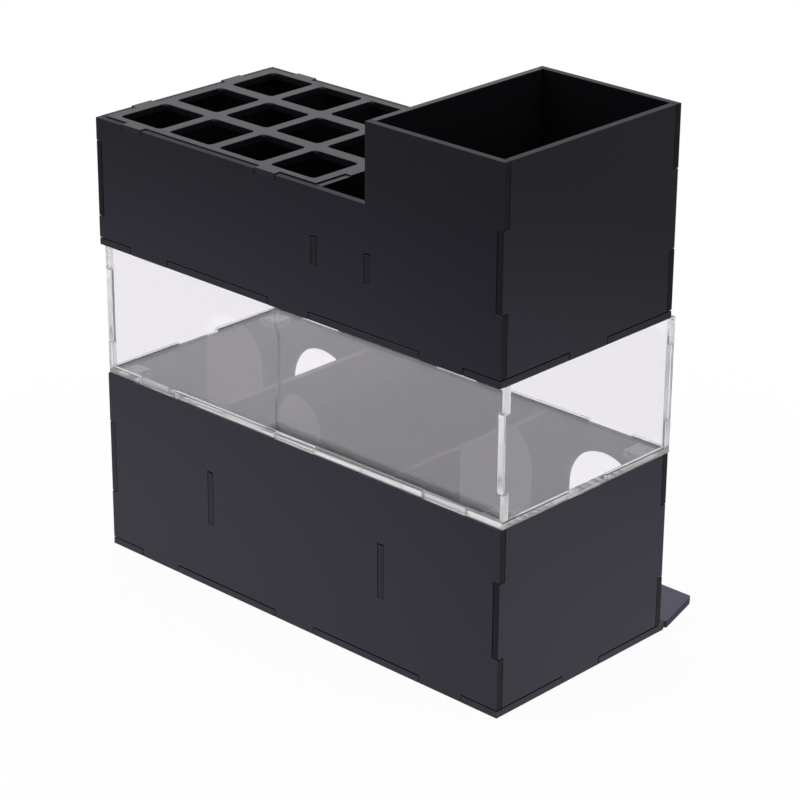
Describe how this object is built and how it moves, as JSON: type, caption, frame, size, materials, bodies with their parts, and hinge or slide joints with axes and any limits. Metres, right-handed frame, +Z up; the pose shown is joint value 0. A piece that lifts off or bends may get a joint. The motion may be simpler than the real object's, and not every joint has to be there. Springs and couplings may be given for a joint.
{
  "type": "tiered desk stand",
  "caption": "Tiered desk stand of stacked acrylic boxes: arched lower bin with front lip, clear lift-off tray, and top unit with pen grid, slot and tall bin.",
  "frame": {"origin": "centre of the footprint, lip included, on the surface that the stand rests on", "axes": "+Z up, the front with the lip and the arches faces -Y, +X to the right seen from the front"},
  "size_m": [0.23, 0.128, 0.234],
  "materials": {
    "black_acrylic": "gloss",
    "clear_acrylic": "clear gloss"
  },
  "bodies": {
    "lower_bin": {"bin_base_plate": "black_acrylic", "bin_rear_wall": "black_acrylic", "bin_front_wall": "black_acrylic", "bin_right_end": "black_acrylic", "bin_left_end": "black_acrylic", "bin_right_divider": "black_acrylic", "bin_left_divider": "black_acrylic"},
    "clear_tray": {"tray_floor": "clear_acrylic", "tray_rear_wall": "clear_acrylic", "tray_front_wall": "clear_acrylic", "tray_right_end": "clear_acrylic", "tray_left_end": "clear_acrylic", "tray_block_rear_right": "clear_acrylic", "tray_block_rear_left": "clear_acrylic", "tray_block_front_right": "clear_acrylic", "tray_block_front_left": "clear_acrylic"},
    "top_unit": {"top_floor": "black_acrylic", "top_rear_wall": "black_acrylic", "top_front_wall": "black_acrylic", "top_short_end": "black_acrylic", "top_tall_end": "black_acrylic", "slot_divider": "black_acrylic", "tall_bin_wall": "black_acrylic", "grid_plate": "black_acrylic"}
  },
  "joints": [
    {"name": "tray_lift", "type": "slide", "parent": "lower_bin", "child": "clear_tray", "axis": [0, 0, 1], "range_m": [0, 0.12]},
    {"name": "top_lift", "type": "slide", "parent": "clear_tray", "child": "top_unit", "axis": [0, 0, 1], "range_m": [0, 0.12]}
  ]
}
